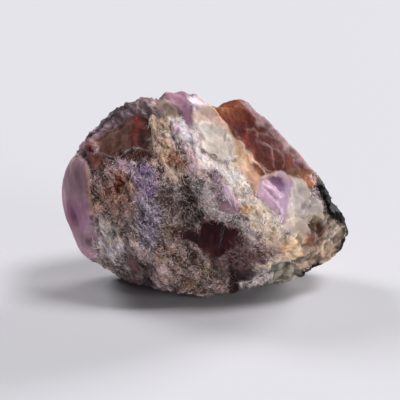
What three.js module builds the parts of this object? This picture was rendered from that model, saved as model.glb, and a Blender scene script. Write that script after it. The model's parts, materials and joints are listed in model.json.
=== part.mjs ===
// A piece of rough sapphire in its host rock: one solid stone, chipped all round and flat where it rests.
// Millimetres, +Z up, +X towards the stone's dark pointed tip, and -Y the front, where most of its
// crystals show. The origin is on the surface that the stone rests on, under the middle of the stone.
import * as THREE from "three";
import { mergeVertices } from "three/addons/utils/BufferGeometryUtils.js";

// Driving dimensions.
const HEART_HEIGHT = 14.6; // from the resting face up to the heart, where every face is measured from
const EDGE_SHARPNESS = 60; // how crisply two faces meet: higher is crisper
const WEAR_BELOW = 0.12; // how much the resting face is worn off, which makes it truly flat
const GRID_STEPS = 28; // grid cells along each side of the cube that is grown into the stone
const GRID_STRETCH = new THREE.Vector3(1.35, 1, 1); // the stone is longer along X, and so is the grid

// The broken faces. A direction is a turn round the stone in degrees, seen from the front, with 0 towards
// the tip and 90 up, and a lean in degrees, towards the back above 0 and towards the front below 0.
// "out" is how far the face lies from the heart.
const FACES = [
  // round the rim
  { name: "tip", turn: 0, lean: -6, out: 21.3 },
  { name: "tip brow", turn: 29, lean: 6, out: 16.0 },
  { name: "slope", turn: 41, lean: 8, out: 13.95 },
  { name: "crown", turn: 60, lean: 14, out: 13.5 },
  { name: "top", turn: 84, lean: 10, out: 12.7 },
  { name: "top left", turn: 118, lean: 8, out: 17.1 },
  { name: "left shoulder", turn: 141, lean: 6, out: 18.7 },
  { name: "left brow", turn: 158, lean: 0, out: 19.8 },
  { name: "left", turn: 182, lean: -4, out: 20.9 },
  { name: "left low", turn: 205, lean: -10, out: 19.8 },
  { name: "left keel", turn: 236, lean: -14, out: 17.35 },
  { name: "left foot", turn: 259, lean: -30, out: 15.9 },
  { name: "underside left", turn: 263, lean: -16, out: 14.85 },
  { name: "underside right", turn: 280, lean: -14, out: 15.05 },
  { name: "resting face", turn: 270, lean: 0, out: HEART_HEIGHT + WEAR_BELOW },
  { name: "tip keel", turn: 299, lean: -8, out: 17.3 },
  { name: "tip low", turn: 326, lean: -8, out: 21.2 },
  // on the front
  { name: "garnet face", turn: 122, lean: -46, out: 16.6 },
  { name: "feldspar face", turn: 56, lean: -42, out: 14.3 },
  { name: "brown face", turn: 182, lean: -56, out: 16.6 },
  { name: "sapphire side", turn: 184, lean: -26, out: 19.7 },
  { name: "mica face", turn: 222, lean: -80, out: 14.6 },
  { name: "knob face", turn: 16, lean: -58, out: 16.2 },
  { name: "grainy face", turn: 338, lean: -36, out: 19.0 },
  { name: "dark face", turn: 288, lean: -54, out: 14.8 },
  { name: "low left face", turn: 236, lean: -44, out: 16.4 },
  // on the back
  { name: "back middle", turn: 100, lean: 82, out: 14.4 },
  { name: "back crown", turn: 78, lean: 40, out: 13.4 },
  { name: "back crown left", turn: 124, lean: 44, out: 15.6 },
  { name: "back right", turn: 18, lean: 46, out: 16.4 },
  { name: "back right low", turn: 332, lean: 52, out: 17.2 },
  { name: "back left", turn: 170, lean: 48, out: 17.6 },
  { name: "back low", turn: 272, lean: 50, out: 15.4 },
  { name: "back low left", turn: 216, lean: 40, out: 18.4 },
];

// Crystals that stand proud of the faces, and hollows between them. Each is a rounded rise that runs
// over the stone from one end to the other and fades out over "spread".
const SWELLS = [
  { name: "top crystal", from: [106, -16], to: [98, 26], spread: 2.0, height: 1.5 },
  { name: "gap beside it", from: [86, -14], to: [80, 22], spread: 1.6, height: -0.7 },
  { name: "garnet block", from: [71, -10], to: [64, 24], spread: 2.3, height: 1.5 },
  { name: "left notch", from: [155, -14], to: [152, 10], spread: 1.4, height: -0.7 },
  { name: "side crystal", from: [170, -12], to: [205, -18], spread: 3.2, height: 0.5 },
  { name: "mica hollow", from: [140, -72], to: [200, -78], spread: 3.6, height: -1.1 },
  { name: "low hollow", from: [292, -74], to: [300, -62], spread: 3.0, height: -0.6 },
  { name: "sapphire knob", from: [16, -54], to: [2, -58], spread: 2.4, height: 0.9 },
  { name: "back ledge", from: [60, 52], to: [130, 60], spread: 2.6, height: 0.9 },
  { name: "back hollow", from: [330, 68], to: [270, 74], spread: 3.4, height: -0.9 },
];

// The unit vector that a turn and a lean stand for.
function direction(turn, lean) {
  const round = THREE.MathUtils.degToRad(turn);
  const tilt = THREE.MathUtils.degToRad(lean);
  return new THREE.Vector3(
    Math.cos(tilt) * Math.cos(round),
    Math.sin(tilt),
    Math.cos(tilt) * Math.sin(round),
  );
}

const faces = FACES.map(({ turn, lean, out }) => ({ normal: direction(turn, lean), out }));

// Distance from the heart to the chipped block along a unit vector. Each face would be met at
// out / cos(angle), and a high power mean keeps the nearest and rounds the edge where two meet.
function blockRadius(along) {
  const closeness = faces.map(({ normal, out }) => Math.max(along.dot(normal), 0) / out);
  const nearest = Math.max(...closeness);
  const sum = closeness.reduce((total, c) => total + (c / nearest) ** EDGE_SHARPNESS, 0);
  return 1 / (nearest * sum ** (1 / EDGE_SHARPNESS));
}

// A point of the chipped block, measured from the heart.
function blockPoint(along) {
  return along.clone().multiplyScalar(blockRadius(along));
}

const swells = SWELLS.map(({ from, to, spread, height }) => ({
  crest: new THREE.Line3(blockPoint(direction(...from)), blockPoint(direction(...to))),
  spread,
  height,
}));

// How far the swells lift a point of the block.
function riseAt(place) {
  const foot = new THREE.Vector3();
  return swells.reduce((total, { crest, spread, height }) => {
    const away = crest.closestPointToPoint(place, true, foot).distanceTo(place);
    return total + height * Math.exp(-((away / spread) ** 2));
  }, 0);
}

// The stone: a finely divided cube whose grid lines are equal angles apart, each vertex moved out to
// the surface, with the underside cut off at the resting face.
function stoneGeometry() {
  const cube = new THREE.BoxGeometry(2, 2, 2, GRID_STEPS, GRID_STEPS, GRID_STEPS);
  cube.deleteAttribute("normal");
  cube.deleteAttribute("uv");
  const stone = mergeVertices(cube);
  const position = stone.getAttribute("position");
  const evenAngle = (value) => Math.tan((value * Math.PI) / 4);
  for (let i = 0; i < position.count; i++) {
    const along = new THREE.Vector3(
      evenAngle(position.getX(i)),
      evenAngle(position.getY(i)),
      evenAngle(position.getZ(i)),
    );
    along.normalize().multiply(GRID_STRETCH).normalize();
    const place = blockPoint(along);
    place.addScaledVector(along, riseAt(place));
    position.setXYZ(i, place.x, place.y, Math.max(place.z + HEART_HEIGHT, 0));
  }
  stone.computeBoundingBox();
  const middle = stone.boundingBox.getCenter(new THREE.Vector3());
  stone.translate(-middle.x, -middle.y, 0);
  stone.computeVertexNormals();
  return stone;
}

const rockMaterial = new THREE.MeshStandardMaterial({
  color: new THREE.Color(0.36, 0.27, 0.26),
  roughness: 0.75,
  metalness: 0,
});

const stone = new THREE.Mesh(stoneGeometry(), rockMaterial);
stone.name = "rough_sapphire";

const part = new THREE.Group();
part.add(stone);

export default part;
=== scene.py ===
import json

import bpy
import mathutils
import numpy as np
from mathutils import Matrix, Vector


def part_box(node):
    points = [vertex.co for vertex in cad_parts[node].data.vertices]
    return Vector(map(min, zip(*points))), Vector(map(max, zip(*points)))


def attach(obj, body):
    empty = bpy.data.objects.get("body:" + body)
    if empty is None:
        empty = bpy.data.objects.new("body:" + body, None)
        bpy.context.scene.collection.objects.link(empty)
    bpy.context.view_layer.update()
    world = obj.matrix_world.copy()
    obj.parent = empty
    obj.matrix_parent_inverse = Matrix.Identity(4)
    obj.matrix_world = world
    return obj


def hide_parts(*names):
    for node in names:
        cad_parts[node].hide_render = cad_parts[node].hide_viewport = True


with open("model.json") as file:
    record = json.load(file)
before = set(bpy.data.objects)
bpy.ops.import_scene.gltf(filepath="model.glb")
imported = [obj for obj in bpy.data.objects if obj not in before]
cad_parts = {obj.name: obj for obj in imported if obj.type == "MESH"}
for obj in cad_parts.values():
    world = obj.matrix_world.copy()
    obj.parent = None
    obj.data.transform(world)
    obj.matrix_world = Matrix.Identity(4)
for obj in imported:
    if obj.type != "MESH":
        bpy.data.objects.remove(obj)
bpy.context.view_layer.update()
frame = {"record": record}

NODE = frame["record"]["subparts"][0]["node"]
MM = 0.001

# ---------------------------------------------------------------------------------------------------
# The stone as it is seen
# ---------------------------------------------------------------------------------------------------
VIEW_RISE = 14.0  # degrees that the viewer looks down from
VIEW_REACH = 265.0  # mm from the viewer to the heart
VIEW_RIGHT = np.array([1.0, 0, 0])
VIEW_UP = np.array([0, np.sin(np.radians(VIEW_RISE)), np.cos(np.radians(VIEW_RISE))])
VIEW_BACK = np.array([0, -np.cos(np.radians(VIEW_RISE)), np.sin(np.radians(VIEW_RISE))])

# The grain of the mica rock: its blades lie along GRAIN, in sheets that run back into the stone.
GRAIN = np.array([0.64, 0.0, -0.77])
GRAIN_ACROSS = np.array([0.77, 0.0, 0.64])

# ---------------------------------------------------------------------------------------------------
# The block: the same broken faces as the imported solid
# ---------------------------------------------------------------------------------------------------
HEART_HEIGHT = 14.6  # mm from the floor to the heart
WEAR_BELOW = 0.12  # mm that the rounding of the edges takes off the underside
EDGE_SHARPNESS = 60
GRID_STRETCH = np.array([1.35, 1.0, 1.0])

# Every broken face: the turn round the stone and the lean towards the back that it looks in, in degrees,
# and its distance from the heart.
FACES = [
    # round the rim
    (0, -6, 21.3),
    (29, 6, 16.0),
    (41, 8, 13.95),
    (60, 14, 13.5),
    (84, 10, 12.7),
    (118, 8, 17.1),
    (141, 6, 18.7),
    (158, 0, 19.8),
    (182, -4, 20.9),
    (205, -10, 19.8),
    (236, -14, 17.35),
    (259, -30, 15.9),
    (263, -16, 14.85),
    (280, -14, 15.05),
    (270, 0, HEART_HEIGHT + WEAR_BELOW),
    (299, -8, 17.3),
    (326, -8, 21.2),
    # on the front
    (122, -46, 16.6),
    (56, -42, 14.3),
    (182, -56, 16.6),
    (184, -26, 19.7),
    (222, -80, 14.6),
    (16, -58, 16.2),
    (338, -36, 19.0),
    (288, -54, 14.8),
    (236, -44, 16.4),
    # on the back
    (100, 82, 14.4),
    (78, 40, 13.4),
    (124, 44, 15.6),
    (18, 46, 16.4),
    (332, 52, 17.2),
    (170, 48, 17.6),
    (272, 50, 15.4),
    (216, 40, 18.4),
]

# Swells and hollows: the turn and lean of one end, those of the other end, how far it spreads and how
# high it stands.
SWELLS = [
    ((106, -16), (98, 26), 2.0, 1.5),
    ((86, -14), (80, 22), 1.6, -0.7),
    ((71, -10), (64, 24), 2.3, 1.5),
    ((155, -14), (152, 10), 1.4, -0.7),
    ((170, -12), (205, -18), 3.2, 0.5),
    ((140, -72), (200, -78), 3.6, -1.1),
    ((292, -74), (300, -62), 3.0, -0.6),
    ((16, -54), (2, -58), 2.4, 0.9),
    ((60, 52), (130, 60), 2.6, 0.9),
    ((330, 68), (270, 74), 3.4, -0.9),
]


def unit(turn, lean):
    """The unit vector of a turn (0 is +X, 90 is up) and a lean (90 is +Y), both in degrees."""
    turn, lean = np.radians(turn), np.radians(lean)
    return np.array([np.cos(lean) * np.cos(turn), np.sin(lean), np.cos(lean) * np.sin(turn)])


def of_length_one(vectors):
    """The vectors divided by their lengths."""
    return vectors / np.linalg.norm(vectors, axis=-1, keepdims=True)


def bell(distance, width):
    """1 in the middle and fading over "width" on both sides: exp(-(distance / width)^2)."""
    return np.exp(-((distance / width) ** 2))


FACE_NORMALS = np.array([unit(turn, lean) for turn, lean, _ in FACES])
FACE_OUTS = np.array([out for _, _, out in FACES])


def bare_block(along):
    """Points of the block along unit vectors: each face would be met at out / cos(angle), and a high
    power mean keeps the nearest of them and rounds the edge where two meet."""
    closeness = np.maximum(along @ FACE_NORMALS.T, 0) / FACE_OUTS
    nearest = closeness.max(1, keepdims=True)
    sum_of_powers = ((closeness / nearest) ** EDGE_SHARPNESS).sum(1)
    radius = 1 / (nearest[:, 0] * sum_of_powers ** (1 / EDGE_SHARPNESS))
    return radius[:, None] * along


def distance_to_line(places, start, end):
    """Distance from each place to the straight piece between two points."""
    run = end - start
    share = np.clip((places - start) @ run / (run @ run), 0, 1)
    return np.linalg.norm(places - start - share[:, None] * run, axis=1)


def block(along):
    """Points of the block with its swells: each lifts the surface by its height times a bell about the
    line from one of its ends to the other."""
    places = bare_block(along)
    rise = np.zeros(len(along))
    for start, end, spread, height in SWELLS:
        crest = bare_block(np.array([unit(*start), unit(*end)]))
        rise += height * bell(distance_to_line(places, *crest), spread)
    return places + rise[:, None] * along


def cube_sphere(steps, forward):
    """Unit vectors and quads of a cube grown into a sphere: six grids of equal angles, welded along
    the cube's edges, drawn out along X, and crowded towards the front by "forward". Returns where the
    quads' corners lie unrolled too: the six sides lie flat in two rows of three, a little apart."""
    ticks = np.tan(np.linspace(-np.pi / 4, np.pi / 4, steps + 1))
    a, b = np.meshgrid(ticks, ticks, indexing="ij")
    one = np.ones_like(a)
    sides = [(one, a, b), (-one, -a, b), (-a, one, b), (a, -one, b), (-b, a, one), (b, a, -one)]
    points = of_length_one(np.concatenate([np.stack(side, -1).reshape(-1, 3) for side in sides]))
    corner = (np.arange(steps)[:, None] * (steps + 1) + np.arange(steps)).reshape(-1)
    quads = np.stack([corner, corner + steps + 1, corner + steps + 2, corner + 1], 1)
    quads = np.concatenate([quads + side * (steps + 1) ** 2 for side in range(6)])
    keys = np.round(points * 1e5).astype(np.int64)
    _, first, back = np.unique(keys, axis=0, return_index=True, return_inverse=True)
    points = of_length_one(points[first] * GRID_STRETCH + np.array([0, -forward, 0]))
    low = np.stack([np.arange(steps).repeat(steps), np.tile(np.arange(steps), steps)], 1)
    square = 0.02 + 0.96 * (low[:, None] + np.array([(0, 0), (1, 0), (1, 1), (0, 1)])) / steps
    unrolled = np.concatenate([(square + (side % 3, side // 3)) / (3, 2) for side in range(6)])
    return points, back.reshape(-1)[quads], unrolled


# ---------------------------------------------------------------------------------------------------
# Natural patterns in three dimensions
# ---------------------------------------------------------------------------------------------------
# Each finer layer of a pattern is turned by this before it is added, so that its rows never line up.
TURN = np.array([[0.36, 0.48, -0.8], [-0.8, 0.6, 0.0], [0.48, 0.64, 0.6]])


def chance(cells, seed):
    """A fixed number from 0 to 1 for each whole-number cell: its three counts are multiplied by large
    primes, mixed and folded."""
    keys = cells.astype(np.int64) * np.array([73856093, 19349663, 83492791])
    mixed = (keys[..., 0] ^ keys[..., 1] ^ keys[..., 2]) + seed * 668265263 & 0xFFFFFFFF
    mixed = (mixed ^ (mixed >> 15)) * 2246822519 & 0xFFFFFFFF
    mixed = (mixed ^ (mixed >> 13)) * 3266489917 & 0xFFFFFFFF
    return ((mixed ^ (mixed >> 16)) & 0xFFFFFF) / 0x1000000


def cloud(places, size, seed):
    """Smooth hills from -1 to 1, about one every "size": a fixed value at each corner of a lattice,
    eased from corner to corner by 6t^5 - 15t^4 + 10t^3."""
    scaled = places / size
    cell = np.floor(scaled)
    t = scaled - cell
    ease = t * t * t * (t * (t * 6 - 15) + 10)
    total = np.zeros(len(places))
    for corner in np.ndindex(2, 2, 2):
        share = np.where(np.array(corner) == 1, ease, 1 - ease).prod(-1)
        total += share * chance(cell + corner, seed)
    return total * 2 - 1


def fractal(places, size, seed, layers=4, keep=0.5):
    """Clouds added up, each layer half the size of the last, "keep" times its height, and turned."""
    total = np.zeros(len(places))
    for layer in range(layers):
        total += keep**layer * cloud(places, size / 2**layer, seed + layer)
        places = places @ TURN
    return total


def grains(places, size, seed):
    """Random grains about "size" across. Gives how far each place lies from the nearest grain's middle,
    how near it is to the border with the next grain, the way from that middle, and a fixed number
    from 0 to 1 for the grain."""
    scaled = places / size
    home = np.floor(scaled)
    nearest = np.full(len(places), 9.0)
    second = np.full(len(places), 9.0)
    way = np.zeros_like(places)
    mark = np.zeros(len(places))
    for step in np.ndindex(3, 3, 3):
        cell = home + step - 1
        middle = cell + np.stack([chance(cell, seed + axis) for axis in range(3)], -1)
        offset = scaled - middle
        distance = np.sqrt((offset**2).sum(1))
        closer = distance < nearest
        second = np.where(closer, nearest, np.minimum(second, distance))
        nearest = np.where(closer, distance, nearest)
        way[closer] = offset[closer]
        mark[closer] = chance(cell[closer], seed + 3)
    return nearest * size, (second - nearest) * size, way * size, mark


def along_grain(places, length=4.0, depth=2.0):
    """Places squeezed "length" times along the rock's grain and "depth" times into its sheets, so that
    a pattern of round spots comes out as blades."""
    return np.stack([places @ GRAIN / length, places[:, 1] / depth, places @ GRAIN_ACROSS], 1)


def rise_between(low, high, value):
    """0 below low, 1 above high, and an even S-curve between."""
    share = np.clip((value - low) / (high - low), 0, 1)
    return share * share * (3 - 2 * share)


# ---------------------------------------------------------------------------------------------------
# The minerals
# ---------------------------------------------------------------------------------------------------
KINDS = ["mica rock", "garnet", "sapphire", "feldspar", "biotite", "grit"]
ROCK, GARNET, SAPPHIRE, FELDSPAR, BIOTITE, GRIT = range(6)
BLEND = [0.5, 0.16, 0.35, 0.5, 0.3, 0.45]  # how softly each kind's colour fades over its border, in mm


def colour(code):
    """Linear red, green and blue of a colour written as six hexadecimal digits."""
    shown = np.array([int(code[i : i + 2], 16) for i in (0, 2, 4)]) / 255
    return np.where(shown > 0.04045, ((shown + 0.055) / 1.055) ** 2.4, shown / 12.92)


def held(tints, most=0.92):
    """Colours scaled back, with their hue kept, where the strongest of red, green and blue passes most."""
    return tints * np.minimum(1, most / tints.max(1, keepdims=True))


# Every mineral patch, later ones over earlier ones: its kind, its colour, how far it stands proud in mm,
# and its outline. An outline's points are mm to the right of the heart and mm above it, on the plane
# through the heart that squarely faces the viewer, and the patch runs back into the stone from there.
PATCHES = [
    # what shows between the others
    (ROCK, "8c7a78", 0, [(-14, -3), (-9.8, -3), (-9.8, -9.8), (-12.2, -9.8), (-11.8, -7.5)]),
    (BIOTITE, "785e66", 0, [(-19.5, 8), (-17.2, 3.8), (-14, 4), (-14.8, 6), (-15.6, 7.4), (-10.4, 11.2),
     (-7.4, 10.6), (-7.6, 13.5), (-10, 16)]),
    (ROCK, "4e3029", 0, [(-7.6, 5.4), (-5, 6.4), (-2.2, 5), (-1.2, 2.2), (-4, 1), (-7.2, 2.4)]),
    (ROCK, "ecdcd2", 0, [(-5.2, 11.2), (-1.2, 11.2), (0, 6.6), (4.6, 5.4), (8.4, 2.8), (9.6, -1), (12.4, -4),
     (12.4, -6.9), (9, -6.8), (7, -4.8), (4.8, -1.2), (1.6, 2.4), (-1, 3.8), (-3.2, 7.2)]),
    (ROCK, "fae0be", 0, [(5.2, -5), (9, -6.6), (14.8, -7), (12.4, -11), (7, -11.6), (10.4, -8.4)]),
    (ROCK, "6c4f4c", -0.1, [(-6.6, -5.2), (0, -3.8), (3.4, -3.8), (6.4, -6.2), (7.6, -10.8), (0.6, -10.8),
     (-3.4, -7.9)]),
    # left side
    (SAPPHIRE, "ae8c98", 0.1, [(-24, -1.5), (-23, 3), (-20, 5.6), (-18.8, 5.4), (-17.9, 5), (-17.5, 3),
     (-17.4, 1), (-17, -1), (-16.8, -3), (-16.4, -5), (-15.9, -7), (-16.3, -9), (-16.2, -10.2), (-20, -11),
     (-23, -7)]),
    (GARNET, "d2a694", 0, [(-17.6, 4.6), (-16.9, 3), (-16.6, 1), (-16.3, -1), (-16.2, -3.5), (-16.8, -3.4),
     (-17, -1), (-17.3, 1), (-17.6, 3)]),
    # upper left
    (BIOTITE, "907c82", 0, [(-17.8, 6.8), (-16.5, 8), (-15.5, 9.2), (-14.5, 10), (-13.2, 10.4), (-12, 10.9),
     (-11, 11.5), (-10.5, 12.4), (-9.6, 13.2), (-9.4, 16), (-13, 16), (-19, 10)]),
    (GARNET, "543631", -0.35, [(-16.5, 7.6), (-15.3, 8.6), (-14.6, 9.4), (-13, 10.2), (-11.5, 11),
     (-10.6, 11.5), (-9.6, 11.5), (-8.6, 11.1), (-8, 10.2), (-7.7, 9), (-7.5, 7.5), (-7.4, 6.2), (-7.5, 5),
     (-8.4, 4.6), (-10, 4.5), (-12, 4.8), (-13.5, 4.9), (-14.8, 5.3), (-15.6, 6), (-15.6, 7)]),
    (GARNET, "602622", -0.25, [(-11, 9.6), (-10.6, 11.3), (-9.7, 11.3), (-9.8, 9.7), (-10.2, 9.4),
     (-10.3, 7.2), (-10.9, 6.9), (-11.2, 8.4)]),
    (GARNET, "381c1e", -0.5, [(-9.9, 9.7), (-8.9, 9.3), (-8.2, 9.4), (-7.8, 8), (-7.9, 6.6), (-8.8, 6.3),
     (-9.8, 6.8), (-10.2, 7.6)]),
    (ROCK, "4c2a22", 0.15, [(-12.2, 5.6), (-11.2, 6.2), (-10, 6.5), (-9, 6.2), (-8.2, 5.8), (-7.8, 5),
     (-8.4, 4.5), (-10, 4.3), (-12.2, 4.7), (-13.6, 4.5), (-14.3, 4.1), (-14.7, 4.8), (-13.8, 5.1),
     (-12.8, 5.1)]),
    (GARNET, "825446", 0, [(-17.4, 5.6), (-16.4, 5.8), (-15.4, 5.4), (-14.8, 4.6), (-14.5, 3.6), (-15, 2.4),
     (-15.6, 1.2), (-16.4, 1.4), (-16.5, 3), (-17, 4.4)]),
    (BIOTITE, "725c60", 0.1, [(-9.9, 13), (-9.6, 15), (-7, 15), (-6.9, 13), (-6.5, 11.6), (-7.6, 11.2),
     (-8.4, 11.6), (-9.3, 12)]),
    # brown mica below it
    (ROCK, "937063", 0.05, [(-16.3, 3.2), (-14.5, 3.6), (-13, 3.9), (-12, 3.2), (-10.7, 2.2), (-10.2, 0),
     (-10, -1.5), (-9.8, -3.2), (-12, -3.6), (-14, -3.4), (-16.2, -2.8), (-16.3, -0.5)]),
    (ROCK, "98523e", 0, [(-13.8, 2.2), (-12.7, 2.4), (-12.2, 1.2), (-12.6, 0), (-13.6, -0.1), (-14.3, 0.8)]),
    # violet sapphire in the middle of the left half
    (ROCK, "bc9fb4", 0, [(-13.9, 3.4), (-13, 4.2), (-11.5, 4.3), (-10, 4.1), (-9.9, 3), (-11.4, 2.7),
     (-12.5, 3.1)]),
    (ROCK, "806888", 0, [(-10.3, 3.8), (-9, 4.3), (-7.8, 4.2), (-7, 3.4), (-6.8, 2), (-6.9, 0.3), (-7.3, -1),
     (-8.2, -1.5), (-9.3, -1.2), (-9.9, 0.2), (-10.3, 2)]),
    (ROCK, "7c7080", 0, [(-9.8, -1.2), (-7.2, -1), (-6.5, -3), (-6.7, -5.5), (-7.2, -7.5), (-8.2, -8.6),
     (-9.5, -7.5), (-10.2, -5.5), (-10.2, -3)]),
    # lower left
    (ROCK, "ccc0c0", 0.05, [(-16.3, -3), (-15, -3.2), (-13.5, -4.4), (-12.4, -6), (-11.8, -7.5), (-11.9, -9),
     (-12.8, -9.9), (-14.5, -9.9), (-16.4, -10.2), (-16.4, -8.5), (-15.8, -7), (-16.3, -5)]),
    (ROCK, "8c7a78", -0.1, [(-17, -10.2), (-14.5, -9.8), (-12.8, -10), (-11.3, -10.6), (-10.8, -12),
     (-11, -15), (-14, -15), (-18, -12)]),
    (GARNET, "6a5050", -0.1, [(-11.3, -9.2), (-10.2, -9.2), (-9.8, -10.4), (-9.6, -12), (-9.4, -15),
     (-11.1, -15), (-11.2, -12), (-11.4, -10.6)]),
    (ROCK, "523c3c", 0, [(-9.6, -9.6), (-8.4, -9.9), (-7.2, -10.4), (-7.1, -12.4), (-7.4, -15), (-9.4, -15),
     (-9.7, -12)]),
    (ROCK, "b09894", 0.1, [(-7, -9.6), (-5.2, -9.8), (-4.8, -11.6), (-4.6, -15), (-6.8, -15),
     (-7.1, -11.2)]),
    # middle
    (FELDSPAR, "8a746e", 0.1, [(-7.2, 15), (-5.8, 14.6), (-4.8, 13), (-3.9, 12), (-3.8, 10.9), (-5, 10.7),
     (-6.4, 10.9), (-7, 12)]),
    (ROCK, "e2c6ae", 0.2, [(-7.9, 11.4), (-6, 11), (-4.6, 10.6), (-4.8, 9), (-4.6, 7.5), (-4.4, 6.2),
     (-4.6, 4.6), (-3.4, 3.2), (-3.6, 1.6), (-4.6, 1.8), (-5.8, 2.6), (-7.1, 4.4), (-7.3, 6), (-7.5, 8.5)]),
    (ROCK, "a87c64", 0, [(-6.6, 5.4), (-4.8, 6.4), (-3.2, 5.6), (-2.2, 4.2), (-2.4, 2.8), (-3.6, 3.2),
     (-4.6, 4.2), (-6, 4.5)]),
    (ROCK, "62504c", -0.3, [(-6.6, 1.8), (-4.8, 1.4), (-3, 1.8), (-1.8, 0.6), (-0.6, -1.2), (0.4, -3.2),
     (1.2, -4.6), (-0.5, -5.2), (-3.2, -5.4), (-5.4, -5), (-6.6, -3.5), (-6.8, -1)]),
    (ROCK, "563e30", 0, [(-6.4, -5), (-4, -4.8), (-3.6, -6), (-3.8, -7.6), (-5, -8), (-6.4, -7.2)]),
    (ROCK, "745c54", 0.1, [(-7, -7.6), (-4, -7.8), (-1, -8.6), (0.5, -10.2), (1.4, -11.4), (3.6, -12.6),
     (4, -16), (0, -17), (-4.7, -16), (-5, -11), (-6.8, -9.6)]),
    # low garnet and what lies about it
    (ROCK, "644440", 0, [(5.6, -6.2), (7.2, -6.8), (8, -7.8), (10.2, -7.4), (11.8, -8.6), (10.8, -10),
     (9.4, -10.6), (7.6, -10.6), (5.2, -9.2), (5.2, -7.6)]),
    (ROCK, "2f1419", 0, [(1.4, -11.2), (4.2, -11.3), (7, -11), (8, -12), (7, -13.6), (6, -16), (3.8, -16),
     (3.4, -13)]),
    (GARNET, "28141a", -0.3, [(-3.6, -6.2), (-2, -6.1), (-1, -6.4), (-0.2, -7.4), (-1, -8.2), (-2.4, -7.5),
     (-3.5, -7.3)]),
    (GARNET, "2c0d12", -0.55, [(-0.6, -5.2), (0.8, -4.6), (2.2, -4.4), (3, -4.2), (3.4, -5.4), (4.4, -5.8),
     (5.3, -6), (5.5, -7), (5, -8), (4.4, -8.8), (3.4, -9.3), (2.6, -10), (1.4, -10.6), (0.4, -10.2),
     (-0.4, -9.2), (-1.2, -8.2), (-0.7, -7)]),
    (ROCK, "523430", 0, [(4.6, -5.7), (6, -6.4), (7.4, -7.4), (8.4, -9), (8.6, -10.4), (6.6, -10.2),
     (5, -9.6), (4, -9.2), (4.9, -8.2), (5.4, -7)]),
    (ROCK, "563236", -0.1, [(0.6, -10.3), (1.6, -10.5), (2.8, -9.9), (3.8, -9.2), (5.2, -9.5), (6.8, -10.2),
     (7.2, -11.2), (5.4, -11.8), (3, -11.6), (1.4, -11.3)]),
    (ROCK, "524240", 0.1, [(7.6, -11.4), (9.6, -10.8), (10, -11.6), (9, -13), (8.4, -16), (6, -16),
     (6.4, -13.2)]),
    # white and lilac blades on the ridge
    (ROCK, "a09492", 0, [(-2.4, 2.4), (-1, 2.8), (0.8, 2.8), (1.4, 1), (1.8, -1), (2.8, -2), (4.4, -3),
     (5.6, -4.6), (8, -5.8), (10.4, -6.6), (8, -7), (5.4, -5.8), (2.8, -4.2), (0.6, -3), (-0.8, -1),
     (-1.8, 0.4)]),
    (ROCK, "faf4f4", 0.2, [(-4.8, 10.4), (-3.2, 10.6), (-2.4, 9.4), (-0.8, 9), (-0.6, 7.6), (-0.9, 6.2),
     (0.6, 5), (2.2, 4.2), (4.2, 3.6), (5.2, 2.6), (6.4, 1.6), (7, 0.4), (8, -1.2), (9.2, -2.6), (10.6, -4),
     (11, -5.4), (10.4, -6.4), (8, -6.2), (7, -5.2), (6.6, -3.4), (5.6, -2), (4.8, -0.4), (3.6, 1.2),
     (2.6, 2.2), (1, 3.4), (-0.8, 4.4), (-1.6, 6), (-2.8, 7.4), (-4.4, 7.8)]),
    (ROCK, "ece4dc", 0.1, [(2.6, 4.2), (4.2, 3.6), (5.2, 2.6), (6.4, 1.6), (7, 0.4), (8, -1.2), (9.2, -2.6),
     (8.6, -3.8), (7.4, -3.6), (6.6, -3.4), (5.6, -2), (4.8, -0.4), (3.6, 1.2), (2.6, 2.2)]),
    (ROCK, "c4acb0", 0, [(-4.4, 7.4), (-2.8, 7.2), (-1.6, 5.8), (-0.8, 4.2), (-1, 2.6), (-2.4, 2.6),
     (-2.6, 4.4), (-3.8, 6.2)]),
    (ROCK, "7c5e70", 0.05, [(0.6, 3.4), (1.4, 3.2), (2.2, 1.8), (2.6, 0.4), (2.6, -1.2), (1.8, -0.6), (1, 1),
     (0.4, 2.4)]),
    (SAPPHIRE, "bca1b4", 0.1, [(2.6, 1.6), (3.4, 1), (4.2, -0.4), (4.6, -1.6), (5, -2.4), (4.8, -3), (4, -2),
     (3, -1.2), (2.7, 0.2)]),
    (SAPPHIRE, "90707c", 0, [(2.8, -1.6), (3.8, -1.5), (4.8, -2.4), (5, -3.2), (4.2, -3.6), (3.2, -3.2),
     (2.4, -2.4)]),
    (ROCK, "e8d4be", 0.1, [(7.4, -2), (9.4, -2.6), (11.4, -4.6), (11.8, -6), (11, -6.8), (8.2, -6.6),
     (7, -5.2), (6.6, -3.8)]),
    (ROCK, "c69442", 0.1, [(5.4, -2.4), (6.2, -2.1), (6.6, -2.8), (6.4, -3.6), (5.6, -3.7), (5.2, -3.2)]),
    # feldspar and the rust-stained seam beside it
    (FELDSPAR, "b08c76", 0, [(0.4, 12.8), (1, 13.8), (2.4, 12.4), (4.2, 9.4), (5.8, 7.6), (7.4, 6.2),
     (8, 3.8), (10, 3.8), (13, 3.6), (15.4, 1.8), (16.6, 0.4), (15.6, -0.4), (13.6, 1), (12.6, 1.6),
     (10, 1.6), (8, 1), (6.6, 2.6), (5, 5.4), (3.4, 8.4), (1.8, 10.8)]),
    (FELDSPAR, "ae8c74", 0, [(0.2, 15), (1.2, 14), (1.7, 12.6), (2.8, 10.8), (3.8, 9.2), (4.6, 7.8),
     (5.2, 7.2), (5.8, 6.4), (7, 5.6), (7.2, 4.4), (7.4, 3.4), (8.6, 2.4), (9.6, 1.9), (8.8, 1.4), (8, 0.8),
     (7.4, -0.6), (6.8, 0.6), (6.2, 1.8), (5.2, 3.2), (4.6, 4.2), (4.4, 5.6), (4.2, 7.2), (3.2, 8.9),
     (2.2, 10.2), (0.8, 11.6), (-0.2, 12.8)]),
    (FELDSPAR, "aa9288", 0.1, [(-1.8, 12.6), (-0.4, 15), (0.6, 13.3), (1, 12.4), (2, 11), (3.1, 9.6),
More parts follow.
